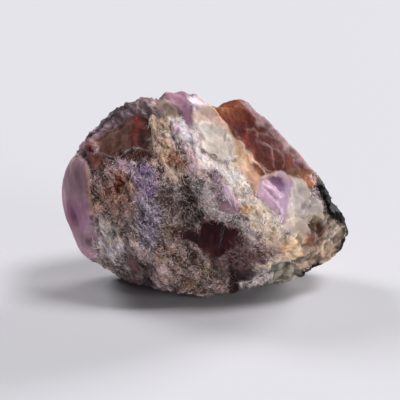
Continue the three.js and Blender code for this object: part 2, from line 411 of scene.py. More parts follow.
     (3.9, 8), (3.4, 8.4), (1.8, 9.7), (0.6, 10.4), (-0.8, 10.6), (-1.7, 9.6), (-2, 10.8)]),
    (FELDSPAR, "c6b8ae", 0.2, [(-1.8, 9.4), (-0.8, 10.4), (0.4, 10.4), (1.6, 9.8), (3, 8.8), (4, 7.6),
     (4.5, 6.2), (4.5, 5), (3.4, 4.4), (2.2, 4.6), (0.6, 5.6), (-0.6, 6.6), (-0.6, 8.2), (-1, 9)]),
    (FELDSPAR, "e0cce2", 0, [(-2.8, 15), (-0.6, 15), (0.2, 13.2), (0.1, 12.5), (-1.4, 12.3), (-2.2, 12.6)]),
    # top crystal
    (SAPPHIRE, "725262", 0.1, [(-6, 16), (-5, 16), (-2.2, 16), (-1.7, 14), (-1.9, 13.2), (-1.7, 12.2),
     (-1.6, 10.8), (-1.8, 9.6), (-2.2, 9), (-3.1, 10.4), (-3.9, 11.8), (-4.7, 13), (-5.2, 13.9),
     (-6, 14.2)]),
    (SAPPHIRE, "7f5c6e", 0.1, [(-3.1, 12.8), (-2.2, 12.2), (-1.8, 10.8), (-2.1, 9.4), (-2.7, 10.2),
     (-3.3, 11.4)]),
    # right garnet and the pale rock behind it
    (GARNET, "54221c", 0, [(1.6, 12.7), (2, 14), (3.6, 15), (4.8, 16), (5.6, 13.8), (7, 12.4), (8.6, 11.2),
     (10.6, 9.4), (12.2, 7.8), (13.2, 6.6), (14.2, 5.6), (15.6, 4), (16.4, 3), (16.4, 1.4), (16, 0.2),
     (15.2, 1), (14.6, 2), (13.2, 2.3), (11.8, 2.8), (10.6, 3.1), (9.4, 2.9), (8.6, 2.2), (7.8, 2.8),
     (7.2, 3.6), (7.1, 5.6), (6.2, 6.2), (5.6, 7.2), (4.4, 8), (3.6, 9.6), (2.8, 10.8)]),
    (GARNET, "542d23", 0, [(1.4, 12.8), (2, 14), (3.2, 14), (3.8, 12.2), (3.4, 11), (2.9, 10.6),
     (2.2, 11.6)]),
    (GARNET, "773d33", 0, [(12.2, 5.8), (13, 5.6), (13.4, 4.6), (13.2, 3.4), (12.2, 3), (12.1, 4.4)]),
    (GARNET, "704c39", 0.05, [(13, 3.6), (14.4, 3.4), (15.6, 3.2), (16.4, 3), (16.4, 1.4), (16, 0.2),
     (15.2, 1), (14.6, 2), (13.2, 2.3), (11.8, 2.8)]),
    (GARNET, "8a6c6e", 0, [(5.2, 13.6), (6.6, 12.2), (7.8, 10.8), (8.6, 9.9), (9.6, 8.9), (10.6, 8.1),
     (11.6, 7.2), (12.2, 6.2), (12.9, 6.8), (13.6, 5.8), (12.9, 5.3), (13.7, 5), (14.9, 3.6), (15.8, 3.2),
     (18, 3.6), (15, 8), (10, 13), (6, 16)]),
    # right
    (FELDSPAR, "aa9e96", 0.1, [(12.8, 1.8), (13.6, 2.2), (14.6, 1.9), (15.4, 0.6), (16.2, -0.6), (17, -1),
     (17.6, -2.2), (18.2, -3.6), (16.8, -3.8), (15.8, -4), (15.6, -5.6), (14.4, -6.6), (12.6, -6.6),
     (11.8, -5.6), (11.6, -4.2), (11.8, -2.2), (12.3, -0.6)]),
    (SAPPHIRE, "a28696", 0.2, [(7.7, 1.2), (8.6, 1.9), (9.6, 2.3), (10.8, 2.7), (12.2, 2.5), (13.2, 1.8),
     (12.9, 1), (12.6, 0), (12.5, -1.2), (12.1, -2.4), (11.8, -3.4), (12, -4.6), (11.4, -4.6), (10.8, -3.2),
     (10, -2.4), (9.2, -2), (8.4, -1), (7.7, 0)]),
    (SAPPHIRE, "61435a", 0.1, [(9.2, 1.9), (10.2, 2.3), (11.4, 2.1), (11.9, 1.3), (11.9, 0.3), (11.3, -0.3),
     (10.6, 0.4), (9.8, 1.2)]),
    (ROCK, "746259", 0, [(16.2, 2), (16.8, 1.6), (17.2, 0.4), (17.4, -0.6), (16.4, -0.4), (16.2, 0.8)]),
    (GRIT, "94826e", 0, [(15.6, -3.9), (17.4, -3.3), (18.6, -3), (19.4, -4.2), (20.6, -5.4), (21.2, -7),
     (19.6, -9), (18.4, -11), (16.8, -11.2), (14.6, -11.4), (13.4, -10.4), (14, -8.8), (15.2, -7.2),
     (15.7, -5.6)]),
    (GRIT, "ddc0a2", 0.15, [(11, -7), (12.6, -6.7), (15.2, -6.2), (15.6, -6.8), (14.6, -8), (14.2, -9.6),
     (13.8, -10.4), (12.4, -10.2), (11.8, -9)]),
    (GRIT, "8e8c82", 0, [(10.2, -10.4), (12.4, -10.4), (14.6, -11.4), (14.4, -14), (11.8, -16), (8.6, -16),
     (9, -12.8), (10, -11.4)]),
    (BIOTITE, "030405", 0.1, [(16.5, 3.3), (16.8, 2.4), (17.3, 0.8), (17.7, -0.6), (18.2, -2.4),
     (18.8, -3.6), (20, -4.6), (20.6, -5.4), (20.7, -6.6), (20.2, -7), (19.4, -7.6), (19.2, -8.9), (20, -11),
     (24, -7), (23, -2), (19, 4)]),
    (BIOTITE, "06070a", 0, [(17.4, -10.5), (16.2, -11), (14.6, -11.6), (14.2, -12.2), (14.2, -15),
     (19, -13)]),
]

# Soft blots of colour inside the patches, one of them a painted highlight: colour, middle, radius and
# strength.
BLOTS = [
    ("80666c", (-19, 2), 2.2, 0.8), ("7d486c", (-19.2, -3.5), 1.8, 0.9), ("b496aa", (-17.5, -5.5), 0.4, 0.8),
    ("694450", (-16.9, -7.5), 0.9, 0.8), ("96736a", (-17.4, 0.5), 0.5, 0.6),
    ("5f2828", (-16.8, 6.4), 0.7, 1), ("a07873", (-15.9, 6.9), 0.5, 0.8), ("3c1e26", (-12.8, 11), 0.8, 0.9),
    ("58382f", (-14.3, 7.5), 1.5, 0.7), ("964a42", (-10.3, 10.6), 0.6, 0.9),
    ("5a302d", (-9.1, 10.2), 0.8, 0.8), ("552824", (-15.6, 5), 0.6, 0.8), ("50302a", (-15.4, 1.8), 0.5, 0.8),
    ("553022", (-14.7, -0.9), 0.7, 0.7), ("967362", (-13, -1.6), 1.1, 0.7),
    ("96554b", (-12.1, -0.9), 0.35, 1), ("554470", (-8, 2.6), 0.8, 0.7), ("645873", (-8.8, -4.8), 1, 0.8),
    ("918496", (-7.7, -5.8), 0.8, 0.7), ("80807a", (-13.6, -6.6), 1, 0.7),
    ("3e373c", (-13, -12.8), 1.2, 0.7), ("c8aa87", (-7.2, 9.4), 0.6, 0.8), ("6e665f", (-6.2, 9.2), 0.6, 0.7),
    ("3c302e", (-2.6, 0), 0.9, 0.8), ("3c302e", (-4.8, 0.2), 0.7, 0.7), ("302222", (-0.9, -4), 0.8, 0.9),
    ("583e3a", (-2.3, -2.2), 0.9, 0.8), ("91705f", (-5.8, -8.9), 1.2, 0.6),
    ("8c7850", (0.4, -11.4), 0.7, 0.8), ("826c46", (-2.3, -13.8), 0.6, 0.7),
    ("553c3c", (-3.4, -13.6), 0.8, 0.7), ("54422e", (2.2, -12.5), 1.2, 0.8),
    ("4c3836", (1.2, -13.8), 0.9, 0.7), ("4b2024", (4.5, -7.2), 0.9, 0.9), ("2e2028", (6, -12.8), 0.9, 0.9),
    ("141012", (9.8, -11.8), 0.35, 0.9), ("141012", (8.4, -12.7), 0.35, 0.9),
    ("ece0e6", (-1.6, 8.4), 0.9, 0.9), ("ccb0ba", (-4, 9.2), 1, 0.8), ("b2a5af", (-2.2, 7.2), 0.7, 0.7),
    ("aaa39b", (6.2, -0.6), 1, 0.6), ("bea573", (7.6, -5), 0.5, 0.7), ("b4a578", (10.6, -5.4), 0.5, 0.7),
    ("b8aca2", (1.2, 9.3), 0.7, 0.5), ("c0b2a4", (2.6, 6), 0.8, 0.5), ("c08c5c", (1.2, 12.7), 0.5, 0.8),
    ("cdac87", (5.8, 5), 0.9, 0.8), ("d29673", (7.5, 2.3), 0.6, 0.8), ("966978", (-4.4, 13.8), 0.9, 0.7),
    # f0dcec at (-2.2, 13.7) is a painted highlight on the top crystal.
    ("f0dcec", (-2.2, 13.7), 0.25, 0.9), ("c4a8bc", (-1.2, 13.4), 0.6, 0.8), ("8a4a2e", (3.4, 12), 1.3, 0.8),
    ("7c4430", (5, 13.2), 1, 0.8), ("74382a", (3.6, 10.2), 1, 0.6), ("54201a", (5.8, 10.4), 1.4, 0.8),
    ("6a2c24", (6.6, 7.6), 1.2, 0.6), ("4a241e", (9, 5.2), 1, 0.7), ("a88a88", (8.4, 10.4), 0.35, 0.8),
    ("b49a98", (9.8, 9.2), 0.3, 0.8), ("5a3a38", (9.2, 9.6), 0.35, 0.7), ("a68684", (11.2, 7.9), 0.35, 0.8),
    ("5c3836", (7.4, 11.6), 0.4, 0.7), ("c8a8aa", (13.6, 6), 0.45, 0.8), ("6e3a36", (14.6, 4.2), 0.4, 0.7),
    ("5c322c", (11, 4.8), 0.8, 0.7), ("5c3432", (9, 8.2), 0.8, 0.7), ("5f4242", (10.8, 7), 0.7, 0.7),
    ("b27058", (15.8, 1.6), 0.7, 0.8), ("be969b", (14, 5), 0.6, 0.8), ("a087ac", (12.2, 0.6), 0.6, 0.7),
    ("a58aaa", (12, -1.6), 0.6, 0.6), ("c8a5b4", (8.2, -0.4), 0.7, 0.7), ("c4bab6", (13.8, -1.8), 0.8, 0.8),
    ("544e4c", (15.1, -2.2), 0.6, 0.8), ("7c7470", (16.2, -1.2), 0.5, 0.8),
    ("7c7470", (14.4, 0.4), 0.6, 0.7), ("4a3c34", (15.9, 0.7), 0.3, 0.8), ("8a827e", (16.6, -2.6), 0.6, 0.7),
    ("b4a090", (13.2, -5), 0.9, 0.8), ("9c8874", (14.6, -5.6), 0.7, 0.8), ("8c5c4c", (16.8, -6.4), 1.6, 0.7),
    ("2c100c", (17.2, -5.3), 1.1, 1), ("4c281e", (15.9, -6.9), 0.8, 0.9), ("48281c", (14.9, -8.2), 0.5, 0.9),
    ("b0a298", (18.6, -6.9), 0.8, 0.8), ("b0a79e", (18.3, -4.5), 0.5, 0.8),
    ("b8a496", (15.4, -8.9), 0.6, 0.8), ("8c6c62", (15.8, -9.8), 0.5, 0.8), ("5c382a", (16, -7.2), 0.8, 0.8),
    ("c0a090", (17.1, -9), 0.4, 0.8), ("747678", (14.7, -10), 0.5, 0.8), ("9c948a", (19.2, -6.2), 0.8, 0.7),
    ("100c0c", (19, -5.5), 0.25, 1), ("181414", (12.8, -11), 0.4, 0.9), ("141010", (14.7, -10), 0.22, 0.9),
    ("4a3a34", (12, -6.6), 0.4, 0.9), ("f0bc84", (11.7, -8.1), 0.5, 0.9), ("fcdcb4", (13.1, -9.2), 0.6, 0.9),
    ("ecc898", (13.4, -7.6), 0.5, 0.8), ("d8bca4", (-7.2, 7.8), 0.9, 0.8), ("bca4a0", (7.5, -7.2), 0.8, 0.7),
    ("7a5872", (10.6, 0.5), 0.8, 0.7), ("4a3430", (0.2, -10.3), 0.9, 0.7),
    ("4c3c3e", (-7.5, -13.3), 0.8, 0.6), ("f0e6de", (3, 4.9), 0.8, 0.6), ("a8888a", (12.3, 6.5), 0.6, 0.7),
    ("b8a698", (16.3, -3.8), 0.5, 0.7), ("ac98a0", (4.5, 0.4), 0.7, 0.6), ("9c6840", (1.9, 12.3), 0.7, 0.8),
    ("ccaa90", (4.7, 6.4), 0.7, 0.7), ("4e2e28", (-14.8, 3.4), 0.8, 0.7), ("3a3032", (-5.6, -14.9), 1, 0.7),
    ("4e3226", (-4.2, -7), 0.8, 0.6),
]

# Long soft streaks, a few of them painted shade: colour, half width, strength and the points they run
# through.
STREAKS = [
    ("a07896", 0.28, 0.8, [(-19.4, -1.8), (-18.4, -3.4), (-17.6, -5.4)]),
    ("7a5c68", 0.5, 0.4, [(-18.8, 3.4), (-18.4, 1.2), (-18.2, -1)]),
    ("886058", 0.28, 0.4, [(-14.8, 8.4), (-12.9, 9.7), (-11.2, 10.7)]),
    ("805a52", 0.25, 0.35, [(-13.4, 9), (-13.6, 6.8), (-13.2, 5.5)]),
    ("7a5650", 0.2, 0.35, [(-11.7, 9.6), (-11.9, 7.2), (-12, 5.7)]),
    ("b09488", 0.2, 0.9, [(-5.4, 13.2), (-4.6, 12.2), (-3.7, 10.9)]),
    ("6c5c48", 0.4, 0.7, [(-5, 11.4), (-4.6, 12), (-5.4, 12.8)]),
    ("3c2c34", 0.35, 0.8, [(-5.9, 14.8), (-5.6, 14)]),
    ("a88492", 0.14, 0.7, [(-5.1, 14.6), (-4.7, 13.6), (-4, 12.6)]),
    ("54364c", 0.14, 0.8, [(-3, 14.2), (-2.6, 13.2), (-2.9, 12.2)]),
    ("4c3444", 0.14, 0.7, [(-1.9, 12.8), (-1.8, 11.6)]),
    ("1c1418", 0.45, 0.85, [(-17.2, 7.9), (-15.9, 9.7), (-14.2, 11.3), (-12.4, 12.7), (-10.6, 13.6),
     (-9.2, 14.2)]),
    ("ccb4c4", 0.13, 0.8, [(8.6, 1.3), (9.6, 0.6), (10.4, 0), (11.2, -0.8)]),
    ("c8b0c0", 0.12, 0.8, [(8.2, 0.8), (10, -0.8), (10.8, -1.6), (11.2, -2.8), (11.4, -4.2)]),
    ("c4acbc", 0.1, 0.8, [(9.2, 1.6), (10.2, 0.6), (11.2, -0.2), (11.7, -0.6)]),
    ("6c5068", 0.1, 0.8, [(8.9, 0.6), (9.8, -0.2), (10.6, -0.9)]),
    ("6c5068", 0.1, 0.7, [(10.2, -1.4), (10.9, -2.4), (11.1, -3.4)]),
    ("4c3248", 0.12, 0.7, [(9.4, 1.9), (10.2, 2.15), (11.2, 2)]),
    ("c8b0b8", 0.14, 0.7, [(8.2, 1.9), (9.4, 2.5), (10.8, 2.8), (12, 2.6)]),
    ("f4ecea", 0.3, 1, [(5.8, -14.3), (7, -13.5), (8.2, -12.6), (9, -11.7)]),
    ("f0e4e0", 0.18, 1, [(8, -13.8), (8.7, -12.9), (9.3, -11.9)]),
    ("0c0808", 0.16, 1, [(7.8, -13.3), (8.3, -12.8), (8.8, -12.1)]),
    ("0c0808", 0.13, 1, [(9.4, -12.2), (9.9, -11.4)]),
    ("3a1c14", 0.45, 0.9, [(17.2, -4.8), (17.2, -5.8), (16.9, -6.8)]),
    ("d0c4c0", 0.16, 0.8, [(16.4, 0.6), (17, -1), (18, -3.2)]),
    ("ccc4c0", 0.14, 0.7, [(12.8, 0.6), (13.4, -0.8), (14.4, -2.4)]),
    ("c4bab4", 0.14, 0.6, [(12.2, -3.4), (13.6, -3.8), (15.2, -3.6)]),
    ("a0808e", 0.3, 0.6, [(-5.2, 14), (-4.2, 13.2), (-3.4, 12)]),
    ("946e68", 0.16, 0.6, [(6, 9.3), (7.4, 9.7), (7.9, 9), (8.1, 7.6), (9.2, 7), (10, 6.5), (9.9, 3.9)]),
    ("946e68", 0.15, 0.6, [(10, 6.5), (11.2, 6.2), (11.9, 5.6), (12.1, 4.4), (11.8, 3.4)]),
    ("946e68", 0.16, 0.6, [(8.1, 8.9), (9.4, 8.6), (9.8, 8.2), (11.4, 7.5), (12.4, 6.6)]),
    ("8c6458", 0.14, 0.6, [(7.1, 5.6), (7.4, 4.4), (8.4, 3.8), (9.2, 3.2), (10.4, 2.9)]),
    ("845850", 0.13, 0.5, [(4, 9.6), (4.8, 8.2), (5.8, 7), (7, 5.6)]),
    ("845850", 0.13, 0.5, [(10.6, 8), (10.7, 7.2), (11.2, 6.2)]),
    ("a07c7c", 0.16, 0.6, [(12.6, 5.9), (13.2, 5.2), (13.4, 4.2), (14.2, 3.6)]),
    ("3a1812", 0.3, 0.5, [(7, 8.4), (7.4, 6.8), (8.6, 6), (9.2, 4.6)]),
    ("e0ae94", 0.2, 0.8, [(5.4, 3.7), (6.4, 3.1), (7.4, 2)]),
    ("dcb49c", 0.14, 0.8, [(7, 5), (7.8, 3.8), (9.2, 2.6)]),
    ("7c4a34", 0.14, 0.8, [(6.2, 5.6), (7.2, 3.6), (8.4, 2.2)]),
    ("6c4834", 0.16, 0.8, [(6.3, 1.6), (7, 0.6), (7.6, -0.6)]),
    # Painted shade: darker lines in the crack and along the lower and right edges of the pale feldspar.
    ("6c625c", 0.18, 0.8, [(0.8, 5.4), (2.2, 4.5), (3.6, 4.2)]),
    ("8c807a", 0.22, 0.7, [(3.2, 8), (3.8, 6.6), (3.6, 5.4)]),
    ("5e5854", 0.16, 0.7, [(-0.4, 6.3), (0.6, 5.8), (1.6, 5)]),
    ("9c8c8a", 0.2, 0.8, [(-9.9, 12.7), (-9.3, 11.9), (-8.6, 11.4)]),
    ("9c8c8a", 0.22, 0.8, [(-8.1, 12.9), (-7.3, 12), (-6.7, 11.2)]),
    ("bca48c", 0.35, 0.7, [(-7.2, 4.7), (-5.8, 4), (-4.8, 2.7), (-4, 1.3)]),
    ("786446", 0.35, 0.7, [(-16.6, 0.8), (-16.5, -0.6), (-16.4, -2.2)]),
]


# How the front's pattern gives way behind the heart, so that the back isn't the front again: it wanders
# by broad clouds and is torn by finer ones. For each, in mm: how far behind the heart it is full, how far
# it moves the pattern and how broad its clouds are, and its seed.
FRONT_ENDS = 2
WANDERINGS = [(9, 10, 7, 301), (5, 3, 3, 303)]


def on_front_plane(places):
    """How far to the right and how far up each place shows on the plane through the heart that squarely
    faces the viewer: its share across that plane, grown by reach / (reach - nearness), and moved by the
    wanderings behind the heart."""
    nearness = places @ VIEW_BACK
    growth = VIEW_REACH / (VIEW_REACH - nearness)
    right = places[:, 0] * growth
    up = places @ VIEW_UP * growth
    for full, reach, size, seed in WANDERINGS:
        strayed = reach * rise_between(FRONT_ENDS, full, -nearness)
        right += strayed * fractal(places, size, seed, layers=3)
        up += strayed * fractal(places, size, seed + 1, layers=3)
    return right, up


def distance_to_path(right, up, path):
    """Distance on the front plane to an open path of straight pieces."""
    nearest = np.full(len(right), 1e9)
    for (x0, y0), (x1, y1) in zip(path, path[1:]):
        run_x, run_y = x1 - x0, y1 - y0
        share = (right - x0) * run_x + (up - y0) * run_y
        share = np.clip(share / (run_x**2 + run_y**2), 0, 1)
        nearest = np.minimum(nearest, np.hypot(right - x0 - share * run_x, up - y0 - share * run_y))
    return nearest


def distance_outside(right, up, outline):
    """Distance on the front plane to a closed outline, negative inside it: a place is inside where a
    line drawn from it to the right crosses the outline an odd number of times."""
    inside = np.zeros(len(right), bool)
    for (x0, y0), (x1, y1) in zip(outline, outline[1:] + outline[:1]):
        if y0 != y1:
            level = (y0 > up) != (y1 > up)
            inside ^= level & (right < x0 + (up - y0) * (x1 - x0) / (y1 - y0))
    away = distance_to_path(right, up, outline + outline[:1])
    return np.where(inside, -away, away)


RAGGED = 0.3  # mm that borders wander from their outlines
FRAYED = 0.5  # mm that the mica rock's borders fray along its grain
BARE_ROCK = "786762"


def minerals(places):
    """What the rock is made of at each place: its colour, the share of each kind of mineral, and how
    far it stands proud. The patches are laid over each other in turn, with ragged borders, straighter
    ones round the garnets, then the blots and the streaks tint them."""
    straight_right, straight_up = on_front_plane(places)
    right = straight_right + RAGGED * fractal(places, 1.9, seed=311, layers=4, keep=0.62)
    up = straight_up + RAGGED * fractal(places, 1.9, seed=321, layers=4, keep=0.62)
    frayed = FRAYED * fractal(along_grain(places, 2.0), 0.9, seed=331, layers=3, keep=0.7)
    tint = np.tile(colour(BARE_ROCK), (len(places), 1))
    share = np.zeros((len(places), len(KINDS)))
    share[:, ROCK] = 1
    proud = np.zeros(len(places))
    for kind, code, height, outline in PATCHES:
        if kind == GARNET:
            away = distance_outside((right + 2 * straight_right) / 3, (up + 2 * straight_up) / 3, outline)
        else:
            away = distance_outside(right, up, outline) + (frayed if kind == ROCK else 0)
        soft = BLEND[kind]
        tint += rise_between(soft, -soft, away)[:, None] * (colour(code) - tint)
        cover = rise_between(0.2, -0.2, away)
        share *= 1 - cover[:, None]
        share[:, kind] += cover
        proud += rise_between(0.3, -0.4, away) * (height - proud)
    for code, (x, y), radius, strength in BLOTS:
        cover = strength * np.exp(-((np.hypot(right - x, up - y) / radius) ** 2) * 0.8)
        tint += cover[:, None] * (colour(code) - tint)
    for code, width, strength, path in STREAKS:
        cover = strength * bell(distance_to_path(right, up, path), width)
        tint += cover[:, None] * (colour(code) - tint)
    return tint, share, proud


# ---------------------------------------------------------------------------------------------------
# The stone's surface
# ---------------------------------------------------------------------------------------------------
# The colours that grains of the gritty end can take, later ones over earlier ones.
GRIT_COLOURS = ["5c3c30", "86705e", "8c8478", "bca894", "a07c70"]
GRIT_SIZE = 1.1  # mm across a grain

# The minerals' own colours are this much lighter than they look where they stand in half shade.
LIGHTER = 1.25


def tilted_chips(way, mark, slope):
    """Flat chips: each grain's face leans its own way, by the run from its middle times a fixed slope."""
    lean = np.stack([np.sin(mark * 61), np.cos(mark * 83), np.sin(mark * 47 + 1)], 1)
    return slope * (way * lean).sum(1)


# Bosses and pits of the front: middle on the front plane, radius and height, in mm.
BUMPS = [
    ((-16.8, 6.4), 0.9, 0.55), ((-8.6, 12.9), 1, 0.5), ((-6.6, 13.2), 0.7, -0.35), ((-5.3, 14.2), 0.8, 0.45),
    ((-3, 14.6), 1, 0.3), ((-0.8, 13.9), 1, -0.45), ((-15.9, -9.6), 1.6, -0.5), ((-3.8, 0.2), 1.6, -0.4),
    ((-1.6, -3.4), 1.8, -0.5), ((2.2, -7), 2.4, -0.5), ((8.6, -8.6), 1.6, 0.5), ((-5.6, -8.8), 1.8, 0.4),
    ((-8.4, -4.6), 1.5, 0.3), ((10.8, 1.2), 1, -0.2), ((9.8, -11.8), 0.5, -0.4), ((8.4, -12.7), 0.5, -0.4),
    ((11.8, -8), 0.6, 0.4), ((13.1, -9.2), 0.7, 0.5), ((14, -7.8), 0.7, 0.35), ((15.4, -8.9), 0.6, 0.35),
    ((18.4, -6.6), 0.8, 0.35), ((-13.6, 11.2), 0.7, 0.35), ((-12.5, 12), 0.5, -0.3),
    ((-11.2, 13), 0.6, 0.35), ((-10.2, 13.6), 0.45, -0.3), ((-1.2, 14.9), 1.1, -0.8), ((14.5, -7), 0.5, 0.3),
    ((12.5, -8.7), 0.35, -0.3), ((16.4, -8.3), 0.5, 0.3), ((17.2, -5.2), 0.8, -0.5),
    ((14.9, -10.2), 0.5, -0.3), ((-11.4, 12.9), 1.2, -0.5), ((-14.2, 10.9), 1.8, -0.7),
    ((-16.2, 9.4), 1.6, -0.5), ((-18.6, 6.3), 1.3, -0.5), ((18.4, 0.6), 1.4, -0.5),
    ((19.6, -1.4), 1.9, -0.85), ((14.2, 5.7), 1.4, 0.4), ((2.4, 13.2), 0.9, 0.4), ((18.4, -10.2), 1.4, 0.5),
    ((20.2, -8.6), 1.5, 0.6), ((-11, 13.3), 0.8, -0.4), ((-16, -10.6), 1.2, 0.3),
]


def bumps(places):
    """The bosses and pits added up: height * exp(-(distance / radius)^2) on the front plane, and only
    on the front half of the stone."""
    right, up = on_front_plane(places)
    total = np.zeros(len(places))
    for (x, y), radius, height in BUMPS:
        total += height * np.exp(-(((right - x) ** 2 + (up - y) ** 2) / radius**2))
    return total * rise_between(-5, 0, places @ VIEW_BACK)


def surface(along):
    """The stone along unit vectors from the heart: points in mm, colour and share of each mineral.
    The block is lifted or worn by each mineral's own relief: creased bundles in the mica rock, broad
    chips in garnet and feldspar, soft waves in sapphire, steps in biotite and round grains in grit.
    Each mineral's tint is made darker in the hollows of its relief and lighter on its ridges, as painted
    shade and painted light. Returns the tints before that too."""
    places = block(along)
    tint, share, proud = minerals(places)
    rough = share[:, ROCK] + 0.5 * share[:, BIOTITE] + 0.7 * share[:, GRIT]
    warmth = rough * (cloud(places, 1.1, seed=95) + 0.7 * cloud(places, 3.0, seed=96))
    tint = tint * np.exp(warmth[:, None] * np.array([0.05, 0.0, -0.08]))
    level = tint.mean(1)
    pale = rise_between(0.15, 0.55, level)
    deep = rise_between(0.06, 0.02, level)
    white = rise_between(0.68, 0.88, level)

    # mica rock
    broad = fractal(places, 5.5, seed=11, layers=3)
    lumps = fractal(places, 2.2, seed=21, layers=4, keep=0.6)
    sheeted = along_grain(places, 2.2, 1.6)
    creases = 1 - np.abs(fractal(sheeted, 1.3, seed=25, layers=3, keep=0.55)) * 2
    blades = fractal(sheeted, 0.42, seed=31, layers=3, keep=0.7)
    rock_relief = 0.32 * lumps + 0.2 * creases + 0.15 * blades - 0.25
    # Painted shade and light: the rock's tint is darkened in the hollows and lightened on the crests of its
    # blades, lumps and creases.
    shade_contrast = 0.6 - 0.2 * pale - 0.3 * deep - 0.1 * white
    rock_light = 0.4 + 0.4 * pale + 0.28 * white + 0.06 * deep
    rock_light *= np.exp(shade_contrast * (blades + lumps + 0.7 * creases))

    # garnet
    shaken = places + 0.4 * fractal(places, 1.5, seed=44, layers=2)[:, None]
    _, seam, way, mark = grains(shaken, 3.2, seed=41)
    patchy = rise_between(-0.1, 0.5, cloud(places, 3.5, seed=47))
    striae = fractal(places * np.array([1.0, 0.7, 0.25]), 0.5, seed=48, layers=3, keep=0.7)
    garnet_relief = tilted_chips(way, mark, 0.05) + 0.05 * patchy * bell(seam, 0.16) + 0.06 * striae
    garnet_light = (0.8 + 0.2 * mark) * np.exp(0.24 * fractal(places, 1.8, seed=45, layers=4) + 0.3 * striae)
    garnet_veins = share[:, GARNET] * patchy * bell(seam, 0.13) * 0.4 * rise_between(0.01, 0.06, level)
    tint = tint + garnet_veins[:, None] * (colour("b09088") - tint)

    # sapphire
    bands = fractal(places @ TURN * np.array([1.0, 0.4, 0.3]), 0.9, seed=51, layers=3)
    sapphire_relief = 0.07 * bands
    sapphire_light = np.exp(0.13 * bands + 0.15 * fractal(places, 2.2, seed=55, layers=3))

    # feldspar
    shaken = places @ TURN + 0.4 * fractal(places, 2, seed=64, layers=2)[:, None]
    _, seam, way, mark = grains(shaken, 2.4, seed=61)
    veil = fractal(places * np.array([1.0, 0.6, 0.45]), 1.3, seed=65, layers=4, keep=0.6)
    feldspar_relief = tilted_chips(way, mark, 0.2) + 0.14 * veil
    feldspar_light = (0.7 + 0.48 * mark) * np.exp(0.2 * veil) * (1 + 0.14 * bell(seam, 0.2))

    # biotite
    sheet = places @ GRAIN_ACROSS / 0.45 + 1.2 * cloud(places, 1.8, seed=71)
    chips, _, _, _ = grains(places, 0.9, seed=75)
    steps = np.floor(sheet) + rise_between(0.7, 1, sheet % 1) - sheet
    biotite_relief = 0.14 * steps + 0.35 * lumps + 0.45 * (0.5 - chips / 0.9)
    biotite_light = np.exp(0.7 * blades + 0.7 * lumps)

    # grit
    shaken = places + 0.25 * fractal(places, 1.0, seed=89, layers=3)[:, None]
    depth, _, _, mark = grains(shaken, GRIT_SIZE, seed=81)
    grit_relief = 0.3 * fractal(places, 1.4, seed=86, layers=3, keep=0.6) - 0.6 * (depth / GRIT_SIZE) ** 2
    speckle = (0.3 - 0.15 * pale - 0.27 * deep) * share[:, GRIT]
    for number, code in enumerate(GRIT_COLOURS):
        chosen = speckle * (np.floor(mark * len(GRIT_COLOURS)) == number)
        tint = tint + chosen[:, None] * (colour(code) - tint)
    grit_light = 1.25 * np.exp(0.35 * lumps - 1.1 * rise_between(0.4, 0.8, depth / GRIT_SIZE))

    reliefs = [rock_relief, garnet_relief, sapphire_relief, feldspar_relief, biotite_relief, grit_relief]
    lights = [rock_light, garnet_light, sapphire_light, feldspar_light, biotite_light, grit_light]
    relief = proud + 0.28 * broad * (0.3 + 0.7 * rough) + (share * np.stack(reliefs, 1)).sum(1)
    relief += bumps(places)
    tint = tint * LIGHTER
    richer = (tint / tint.mean(1, keepdims=True)) ** (0.25 * share[:, [ROCK]])
    # The tints times each mineral's painted shade and painted light.
    shaded = tint * richer * (share * np.stack(lights, 1)).sum(1)[:, None]
    points = places + relief[:, None] * along
    return points, held(shaded), share, tint


def to_frame(points):
    """Points about the heart, in mm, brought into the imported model's frame, in metres: the middle of
    the block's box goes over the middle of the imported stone's, and nothing reaches below its base."""
    placed = (points - BLOCK_MIDDLE) * MM + STONE_MIDDLE
    placed[:, 2] = np.maximum((points[:, 2] + HEART_HEIGHT) * MM, 0)
    return placed


STONE_LOW, STONE_HIGH = (np.array(corner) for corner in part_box(NODE))
STONE_MIDDLE = (STONE_LOW + STONE_HIGH) / 2
BLOCK_STEPS = 40  # steps along each side of the grid that the block's box is measured on
coarse = block(cube_sphere(BLOCK_STEPS, 0)[0])
BLOCK_MIDDLE = (coarse.min(0) + coarse.max(0)) / 2
HEART = STONE_MIDDLE - BLOCK_MIDDLE * MM
HEART[2] = HEART_HEIGHT * MM


# ---------------------------------------------------------------------------------------------------
# Finishes
# ---------------------------------------------------------------------------------------------------
def settle(node, **values):
    """Sets inputs of a shader node, named with _ for each space, and returns the node."""
    for socket, value in values.items():
        node.inputs[socket.replace("_", " ")].default_value = value
    return node


def pattern(tree, size, stretch=(1, 1, 1), turned=False):
    """Fine clouds about "size" mm across, drawn out by "stretch" and, if turned, along the rock's grain."""
    nodes, links = tree.nodes, tree.links
    place = nodes.new("ShaderNodeTexCoord")
    angle = np.arctan2(-GRAIN[2], GRAIN[0]) if turned else 0
    turn = nodes.new("ShaderNodeMapping")
    turn.vector_type = "TEXTURE"
    settle(turn, Rotation=(0, angle, 0), Scale=stretch)
    noise = settle(nodes.new("ShaderNodeTexNoise"), Scale=1 / (size * MM), Detail=4, Roughness=0.6)
    links.new(place.outputs["Object"], turn.inputs["Vector"])
    links.new(turn.outputs["Vector"], noise.inputs["Vector"])
    return noise.outputs["Fac"]


def between(tree, value, low, high):
    """A pattern's value, most of which lies from 0.3 to 0.7, spread over low to high."""
    spread = settle(tree.nodes.new("ShaderNodeMapRange"), From_Min=0.3, From_Max=0.7, To_Min=low, To_Max=high)
    tree.links.new(value, spread.inputs["Value"])
    return spread.outputs["Result"]


